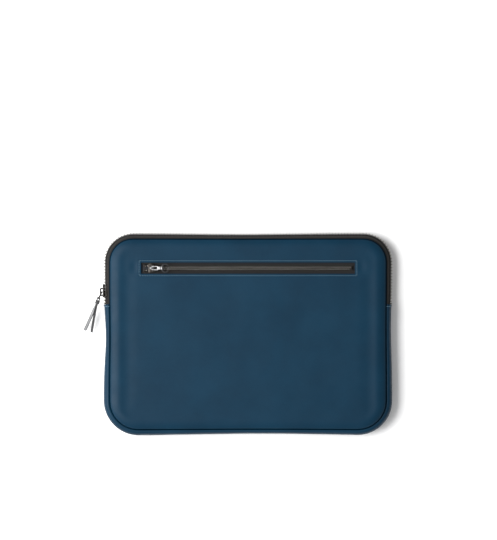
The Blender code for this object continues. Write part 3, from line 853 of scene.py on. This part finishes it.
def build_main_zip():
    route = EdgeRoute(FOLD_Y - 1.4, 1, MAIN_CHAIN_INSET)
    slider = MAIN_SLIDER_Y - route.start_y
    length = MAIN_ZIP.slider_length
    stations = route.stations(3.0, (slider + length / 6, slider - length / 10, slider, 1.0))
    start = FOLD_Y + 0.15 + 2.5 - route.start_y
    count = int((route.length - 2 * start) / (MAIN_ZIP.pitch / 2))
    for side, name in ((1, "front"), (-1, "back")):

        def profile(distance):
            shift = spread_at(MAIN_ZIP, distance - slider)
            line = []
            for inset, height in TAPE_LINE:
                line.append((inset, MIDDLE + side * (height + shift * clamp((6.5 - height) / 3.0))))
            return line

        tape = route.sweep(f"main_tape_{name}_woven", profile, stations, MAIN_ZIP.tape, TAPE)
        body = "case" if name == "back" else None
        stand_for(tape, (f"main_tape_{name}",), body)
        teeth = Shape()
        for i in range(int(side < 0), count + 1, 2):
            distance = start + i * MAIN_ZIP.pitch / 2
            shift = spread_at(MAIN_ZIP, distance - slider)

            def place(along, across, outward):
                inset = MAIN_CHAIN_INSET - 0.25 - outward + side * ROW_STEP
                return route.point(distance + along, inset, MIDDLE + across + side * shift)

            tooth(teeth, MAIN_ZIP, place, side, 0.10)
        row = teeth.build(f"main_teeth_{name}_row", [TOOTH_METAL])
        stand_for(row, (f"main_teeth_{name}",), body)


POCKET_TAPE_LINE = (
    (2.35, -0.2), (2.7, -0.05), (3.1, 0.1), (3.6, 0.0), (5.0, -0.05), (5.7, -0.25), (6.3, -0.6),
    (8.0, -0.5), (13.0, -0.4),
)


def build_pocket_zip():
    start = -WINDOW_HALF_WIDTH + 5.0
    end = WINDOW_HALF_WIDTH - 4.0
    count = int((end - start) / (POCKET_ZIP.pitch / 2))
    top = POCKET_CHAIN_Z + POCKET_ZIP.tape / 2
    half_tape = WINDOW_HALF_WIDTH + 5
    steps = 84
    for side, name in ((1, "upper"), (-1, "lower")):
        shape = Shape()
        rows = []
        for i in range(steps + 1):
            x = -half_tape + 2 * half_tape * i / steps
            shift = spread_at(POCKET_ZIP, x - POCKET_SLIDER_X)
            line = []
            for across, rise in POCKET_TAPE_LINE:
                shifted = across + shift * clamp((6.0 - across) / 3.0)
                line.append((x, WINDOW_Y + side * shifted, top + rise))
            rows.append(shape.ring(line))
        shape.skin(rows)
        tape = shape.build(f"pocket_tape_{name}_woven", [TAPE])
        turn_up(tape)
        thicken(tape, POCKET_ZIP.tape)
        stand_for(tape, (f"pocket_tape_{name}",), "flap")
        teeth = Shape()
        for i in range(int(side < 0), count + 1, 2):
            x = start + i * POCKET_ZIP.pitch / 2
            shift = side * spread_at(POCKET_ZIP, x - POCKET_SLIDER_X)

            def place(along, across, outward):
                return (x + along + 0.5, WINDOW_Y + across + shift, POCKET_CHAIN_Z + outward)

            tooth(teeth, POCKET_ZIP, place, side, 0.85)
        row = teeth.build(f"pocket_teeth_{name}_row", [TOOTH_METAL])
        stand_for(row, (f"pocket_teeth_{name}",), "flap")


# ---- stitches


def thread(shape, points, radius):
    """One stitch through three or more points, with its ends sinking."""
    count = len(points)
    radii = [radius * (0.55 if i in (0, count - 1) else 1.0) for i in range(count)]
    tube(shape, points, radii, sides=7)


STITCH_PITCH = 2.76
STITCH_LENGTH = 1.2
STITCH_RADIUS = 0.3
# each stitch as (share of its half length, rise above the leather), and each hole's dark disc of painted
# shade as (radius, rise)
STITCH_LINE = ((-1, -0.30), (-0.72, 0.08), (0.0, 0.17), (0.72, 0.08), (1, -0.30))
HOLE_LINE = ((0.56, -0.25), (0.58, 0.02), (0.4, 0.06))


def build_window_stitches():
    """A row of stitches round the pocket's window, in a shallow groove."""
    half_x = WINDOW_HALF_WIDTH + STITCH_INSET
    half_y = WINDOW_HALF_HEIGHT + STITCH_INSET
    threads = Shape()
    holes = Shape()
    eighths = [math.tau * k / 8 for k in range(8)]
    random.seed(7)

    def surface(x, y):
        inset = min(HALF_WIDTH - SEAM_INSET - abs(x), HALF_HEIGHT - SEAM_INSET - y)
        return front_height(x, y, inset)

    runs = []
    for side in (-1, 1):
        runs.append(((-half_x, WINDOW_Y + side * half_y), (half_x, WINDOW_Y + side * half_y)))
        runs.append(((side * half_x, WINDOW_Y - half_y), (side * half_x, WINDOW_Y + half_y)))
    for (x0, y0), (x1, y1) in runs:
        total = math.hypot(x1 - x0, y1 - y0)
        count = round(total / STITCH_PITCH)
        along = ((x1 - x0) / total, (y1 - y0) / total)
        across = (-along[1], along[0])
        for i in range(count):
            middle = total * (i + 0.5) / count
            slant = 0.10 + random.uniform(-0.03, 0.03)
            points = []
            for share, rise in STITCH_LINE:
                s = middle + share * STITCH_LENGTH / 2
                x = x0 + along[0] * s + across[0] * slant * share
                y = y0 + along[1] * s + across[1] * slant * share
                points.append((x, y, surface(x, y) + rise))
            thread(threads, points, STITCH_RADIUS)
        for i in range(count + 1):
            s = total * i / count
            x, y = x0 + along[0] * s, y0 + along[1] * s
            z = surface(x, y)
            # a dark disc in each hole, its painted shade
            holes.loft([
                [(x + r * math.cos(a), y + r * math.sin(a), z + rise) for a in eighths]
                for r, rise in HOLE_LINE
            ])
    row = threads.build("window_stitches", [THREAD], 80.0)
    dots = holes.build("window_stitch_holes", [HOLE_SHADE])
    for piece in (row, dots):
        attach(piece, "flap")


def build_hem_stitches(route):
    """A short row of stitches across each end of the band."""
    threads = Shape()
    section = band_profile(0.05)
    lengths = [0.0]
    for a, b in zip(section, section[1:]):
        lengths.append(lengths[-1] + math.hypot(a[0] - b[0], a[1] - b[1]))

    insets = [(length, inset) for length, (inset, z) in zip(lengths, section)]
    heights = [(length, z) for length, (inset, z) in zip(lengths, section)]
    total = lengths[-1]
    count = round(total / 2.6)
    for end in (2.3, route.length - 2.3):
        for i in range(count):
            middle = total * (i + 0.5) / count
            points = []
            for share, rise in ((-1, -0.3), (-0.7, 0.1), (0, 0.18), (0.7, 0.1), (1, -0.3)):
                s = middle + share * 0.95
                inset, z = ramp(insets, s), ramp(heights, s)
                tilt = (z - MIDDLE) / 9.0
                points.append(route.point(end, inset - rise * 0.8, z + rise * tilt * 0.8))
            thread(threads, points, 0.24)
    row = threads.build("band_end_stitches", [THREAD], 80.0)
    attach(row, "case")


# ---- sliders and pulls


def slider_place(origin, along, across, outward):
    rotation = Matrix((along, across, outward)).transposed().to_4x4()
    return Matrix.Translation(Vector(origin)) @ rotation


MAIN_PLACE = slider_place(
    (MAIN_CHAIN_INSET - HALF_WIDTH, MAIN_SLIDER_Y, MIDDLE), (0, 1, 0), (0, 0, -1), (-1, 0, 0)
)
POCKET_PLACE = slider_place((POCKET_SLIDER_X, WINDOW_Y, POCKET_CHAIN_Z), (1, 0, 0), (0, 1, 0), (0, 0, 1))


def round_edges(piece, width, segments=3):
    bevel = piece.modifiers.new("rounding", "BEVEL")
    bevel.width = width * MM
    bevel.segments = segments
    bevel.limit_method = "ANGLE"
    bevel.angle_limit = math.radians(28)
    bake(piece)


def refine(node, body, material, width, segments=3):
    """A rounded, smoothly shaded copy of a metal CAD node, in its place."""
    piece = add_object(node + "_fine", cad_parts[node].data.copy())
    clean(piece, merge=True)
    round_edges(piece, width, segments)
    piece.data.materials.clear()
    piece.data.materials.append(material)
    for face in piece.data.polygons:
        face.material_index = 0
    shade(piece, METAL_ANGLE)
    stand_for(piece, (node,), body)


def crown_axis(zipper):
    top = zipper.half_thickness + 0.35 + zipper.plate
    return -1.6, top + 0.3 + zipper.wire / 2 + 0.25


def tilt_about_bar(zipper, place, direction, degrees):
    along, height = crown_axis(zipper)
    move = Matrix.Translation((along, 0.0, height))
    facing = Matrix.Rotation(0.0 if direction > 0 else math.pi, 4, "Z")
    return place @ move @ facing @ Matrix.Rotation(math.radians(-degrees), 4, "Y")


def crown(node, body, material, zipper, place, sizes):
    """The arched bridge that the pull's bar turns under, with soft edges; sizes are its half length,
    its foot's length and the thickness of its roof."""
    half, foot, roof = sizes
    middle, bar = crown_axis(zipper)
    low = bar - zipper.wire / 2 - 0.55
    under = bar + zipper.wire / 2 + 0.3
    width = 1.5 if zipper is MAIN_ZIP else 1.2
    outer = [(half, low), (half, under), (half - 0.8, under + roof * 0.85), (half - 1.8, under + roof)]
    outer = [(-x, z) for x, z in outer] + outer[::-1]
    inner = [(half - foot, low), (half - foot, under - 0.3), (half - foot - 0.5, under)]
    inner += [(-x, z) for x, z in inner[::-1]]
    shape = Shape()
    rows = []
    for side in (-1, 1):
        rows.append(shape.ring([place @ Vector((middle + x, side * width, z)) for x, z in outer + inner]))
    shape.join(rows[0], rows[1])
    cells = ((0, 1, 12, 13), (1, 2, 3, 11, 12), (3, 4, 10, 11), (4, 5, 6, 9, 10), (6, 7, 8, 9))
    for cell in cells:
        shape.face([rows[0][i] for i in cell])
        shape.face([rows[1][i] for i in reversed(cell)])
    piece = shape.build(node + "_fine", [material], METAL_ANGLE)
    round_edges(piece, 0.3)
    shade(piece, METAL_ANGLE)
    stand_for(piece, (node,), body)


PULL_TAB_LENGTH = 12.7
PULL_TAB_TILT = 25.0
PULL_RING_RADIUS = 4.7
PULL_RING_TILT = -36.0
PULL_RING_WIRE = 1.2
PULL_LOOP_LENGTH = 8.3
PULL_LOOP_HALF_WIDTH = 2.5
PULL_LOOP_TILT = 26.0
STRAP_WIDTH = 3.0
STRAP_THICKNESS = 1.0
STRAP_STEPS = 26
KNOT = Vector((-172.4, 36.4, MIDDLE))
KNOT_ALONG = Vector((-0.33, -0.944, 0.0))
KNOT_ACROSS = Vector((-0.944, 0.33, 0.0))
LONG_TAIL_TIP = Vector((-187.0, 4.5, 4.8))
SHORT_TAIL_TIP = Vector((-179.2, 2.2, 7.5))


def build_pocket_pull():
    refine("pocket_slider_body", "pocket_slider", GUNMETAL, 0.28)
    crown("pocket_slider_crown", "pocket_slider", STEEL, POCKET_ZIP, POCKET_PLACE, (3.0, 1.15, 1.05))
    refine("pocket_pull_tab", "pocket_pull", STEEL, 0.18, 2)
    eye = (tilt_about_bar(POCKET_ZIP, POCKET_PLACE, 1, PULL_TAB_TILT)
           @ Matrix.Translation((PULL_TAB_LENGTH, 0.0, 0.0)))
    ring_axes = eye @ Matrix.Rotation(math.radians(PULL_TAB_TILT - PULL_RING_TILT), 4, "Y")
    path = []
    for angle in (math.tau * i / 56 for i in range(56)):
        out = PULL_RING_RADIUS * (1 - math.cos(angle)) - 0.13
        path.append(ring_axes @ Vector((out, PULL_RING_RADIUS * math.sin(angle), 0.0)))
    shape = Shape()
    tube(shape, path, PULL_RING_WIRE / 2, 14, closed=True)
    ring = shape.build("pocket_pull_ring_fine", [STEEL], 80.0)
    stand_for(ring, ("pocket_pull_ring",), "pocket_ring")


# the keeper's wall, as (distance along the strap, share of its thickness)
KEEPER_LINE = (
    (-2.4, 1.0), (-2.7, 0.8), (-2.7, 0.2), (-2.4, 0.0), (1.4, 0.0), (1.7, 0.2), (1.7, 0.8), (1.4, 1.0),
)


def strap_tail(start, tip, twist_degrees):
    bend = start + KNOT_ALONG * 14.0
    stations = []
    for i in range(STRAP_STEPS + 1):
        t = i / STRAP_STEPS
        point = start * (1 - t) ** 2 + bend * 2 * t * (1 - t) + tip * t**2
        twist = math.radians(twist_degrees) * min(1.0, 1.8 * t)
        stations.append((point, Vector((0, 0, math.cos(twist))) - KNOT_ACROSS * math.sin(twist)))
    return stations


def build_main_pull():
    refine("main_slider_body", "main_slider", GUNMETAL, 0.32)
    crown("main_slider_crown", "main_slider", GUNMETAL, MAIN_ZIP, MAIN_PLACE, (4.7, 1.7, 1.6))
    axes = tilt_about_bar(MAIN_ZIP, MAIN_PLACE, -1, PULL_LOOP_TILT)
    centre = PULL_LOOP_LENGTH / 2
    outline = round_section(centre, PULL_LOOP_HALF_WIDTH, 1.0, 6)
    path = [axes @ Vector((centre + along, across, 0.0)) for along, across in outline]
    shape = Shape()
    tube(shape, path, MAIN_ZIP.wire / 2 + 0.2, 14, closed=True)
    loop = shape.build("main_pull_loop_fine", [GUNMETAL], 80.0)
    stand_for(loop, ("main_pull_loop",), "main_pull")

    bar = axes @ Vector((PULL_LOOP_LENGTH, 0.0, 0.0))
    turn_radius = MAIN_ZIP.wire / 2 + 0.3 + STRAP_THICKNESS / 2
    apart = KNOT_ACROSS * (STRAP_THICKNESS / 2 + 0.3)
    long_tail = strap_tail(KNOT + apart, LONG_TAIL_TIP, 90.0)
    short_tail = strap_tail(KNOT - apart, SHORT_TAIL_TIP, 38.0)
    turn = []
    steps = 16
    for i in range(steps + 1):
        angle = math.radians(160.0 - 180.0 * i / steps)
        turn.append((bar + Vector((math.cos(angle), math.sin(angle), 0.0)) * turn_radius, Vector((0, 0, 1))))
    stations = [*reversed(long_tail), *turn, *short_tail]
    section = round_section(STRAP_WIDTH / 2 + 0.2, STRAP_THICKNESS / 2 + 0.1, 0.3)
    low = min(b for a, b in section)
    bottom = max(i for i, (a, b) in enumerate(section) if b == low and a < 0)
    # one wide face takes the painted highlight; the edges and the other face stay dark
    border = STRAP_WIDTH / 2 - 0.5
    section[bottom + 1:bottom + 1] = [(-border, low - 0.05), (border, low - 0.05)]
    faces = [1 if i == bottom + 1 else 0 for i in range(len(section))]
    rings = []
    flats = []
    distance = 0.0
    for i, (point, width) in enumerate(stations):
        before = stations[max(i - 1, 0)][0]
        after = stations[min(i + 1, len(stations) - 1)][0]
        along = (after - before).normalized()
        width = (width - along * width.dot(along)).normalized()
        depth = along.cross(width).normalized()
        rings.append([point + width * a + depth * b for a, b in section])
        distance += (point - before).length
        flats.append([(distance, a) for a, b in section])
    shape = Shape()
    shape.loft(rings, flats=flats, paint=faces)
    strap = shape.build("main_pull_strap_fine", [STRAP_DARK, STRAP_FACE_SHEEN], 60.0)
    stand_for(strap, ("main_pull_strap",), "main_strap")

    axes = Matrix((KNOT_ALONG, KNOT_ACROSS, Vector((0, 0, 1)))).transposed().to_4x4()
    axes = Matrix.Translation(KNOT) @ axes
    wall = 0.8
    half_height = STRAP_WIDTH / 2 + 0.3
    half_depth = STRAP_THICKNESS + 0.6
    shape = Shape()
    rings = []
    for along, out in KEEPER_LINE:
        grow = wall * out
        line = round_section(half_depth + grow, half_height + grow, 0.35 + grow, 4)
        rings.append([axes @ Vector((along, a, b)) for a, b in line])
    shape.loft(rings, loop=True)
    keeper = shape.build("main_pull_keeper_fine", [STRAP_DARK], 60.0)
    stand_for(keeper, ("main_pull_keeper",), "main_strap")


def build_stops():
    case = ("main_top_stop_back", "main_bottom_stop")
    flap = ("main_top_stop_front", "pocket_top_stop_upper", "pocket_top_stop_lower", "pocket_bottom_stop")
    for body, nodes in (("case", case), ("flap", flap)):
        for node in nodes:
            refine(node, body, GUNMETAL, 0.2, 2)


# ---- floor, light and camera


def floor_paint():
    paint = Paint("pale_floor", Specular_IOR_Level=0.0)
    grain = paint.noise(3.0)
    paint.colour(grain, (0.93, 0.93, 0.93), (0.96, 0.96, 0.96))
    paint.roughness(grain, 0.9, 1.0)
    paint.bump(grain, 0.02, 0.3)
    return paint.material


FLOOR_HALF = 4000.0
FLOOR_STEPS = 8
FLOOR_Z = -0.02
# the sky is brighter towards the sleeve's bottom edge than towards its top
SKY_BOTTOM, SKY_TOP = 0.74, 0.26
# the light and the camera, in metres and watts
KEY_PLACE, KEY_TARGET = Vector((-1.2, 0.12, 1.42)), Vector((0.0, 0.05, 0.0))
KEY_SIZE, KEY_POWER = 1.6, 76.0
CAMERA_PLACE, CAMERA_LENS = (0.0006, 0.0735, 5.0), 290.5


def build_studio():
    scene = bpy.context.scene
    lines = [-FLOOR_HALF + 2 * FLOOR_HALF * i / FLOOR_STEPS for i in range(FLOOR_STEPS + 1)]
    shape = Shape()
    rows = [shape.ring([(x, y, FLOOR_Z) for x in lines]) for y in lines]
    shape.skin(rows)
    floor = shape.build("floor", [floor_paint()])
    turn_up(floor)

    world = bpy.data.worlds.new("studio")
    scene.world = world
    world.use_nodes = True
    nodes, links = world.node_tree.nodes, world.node_tree.links
    background = nodes["Background"]
    background.inputs["Color"].default_value = (1.0, 1.0, 1.0, 1.0)
    direction = nodes.new("ShaderNodeTexCoord")
    split = nodes.new("ShaderNodeSeparateXYZ")
    fade = nodes.new("ShaderNodeMapRange")
    for name, value in (("From Min", -1.0), ("From Max", 1.0), ("To Min", SKY_BOTTOM), ("To Max", SKY_TOP)):
        fade.inputs[name].default_value = value
    links.new(direction.outputs["Generated"], split.inputs[0])
    links.new(split.outputs["Y"], fade.inputs["Value"])
    links.new(fade.outputs[0], background.inputs["Strength"])

    light = bpy.data.lights.new("key", "AREA")
    light.size = KEY_SIZE
    light.energy = KEY_POWER
    key = add_object("key", light)
    key.location = KEY_PLACE
    key.rotation_euler = (KEY_TARGET - KEY_PLACE).to_track_quat("-Z", "Y").to_euler()

    camera = bpy.data.cameras.new("camera")
    camera.lens = CAMERA_LENS
    scene.camera = add_object("camera", camera)
    scene.camera.location = CAMERA_PLACE
    scene.view_settings.view_transform = "Standard"


build_front()
build_back()
build_layers()
build_pocket_lining()
edge_route = build_band()
build_main_zip()
build_pocket_zip()
build_window_stitches()
build_hem_stitches(edge_route)
build_pocket_pull()
build_main_pull()
build_stops()
build_studio()
